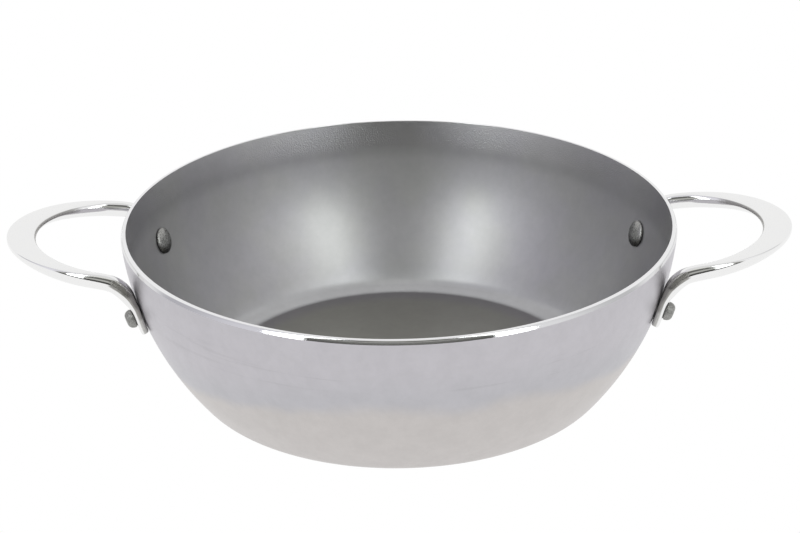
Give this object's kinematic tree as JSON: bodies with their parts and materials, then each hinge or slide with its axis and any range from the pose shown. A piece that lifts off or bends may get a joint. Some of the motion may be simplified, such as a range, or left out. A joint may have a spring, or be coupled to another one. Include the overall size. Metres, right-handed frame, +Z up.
{
  "type": "saute pan",
  "caption": "Deep round-sided pan of bare carbon steel with opposed polished loop handles, each riveted through the wall, for frying, braising and carrying to the table.",
  "frame": {"origin": "centre of the base's underside, on the surface that the pan stands on", "axes": "+X towards the right handle, +Y away from the viewer, +Z up through the open mouth"},
  "size_m": [0.3966, 0.28, 0.088],
  "materials": {
    "carbon_steel": "bare satin carbon steel, darker inside, polished on the lip",
    "polished_stainless": "cast stainless steel with a mirror polish",
    "rivet_steel": "matte grey steel"
  },
  "bodies": {
    "root": {"pan_body": "carbon_steel", "left_handle": "polished_stainless", "right_handle": "polished_stainless", "rivet_left_front": "rivet_steel", "rivet_left_rear": "rivet_steel", "rivet_right_front": "rivet_steel", "rivet_right_rear": "rivet_steel"}
  },
  "joints": []
}
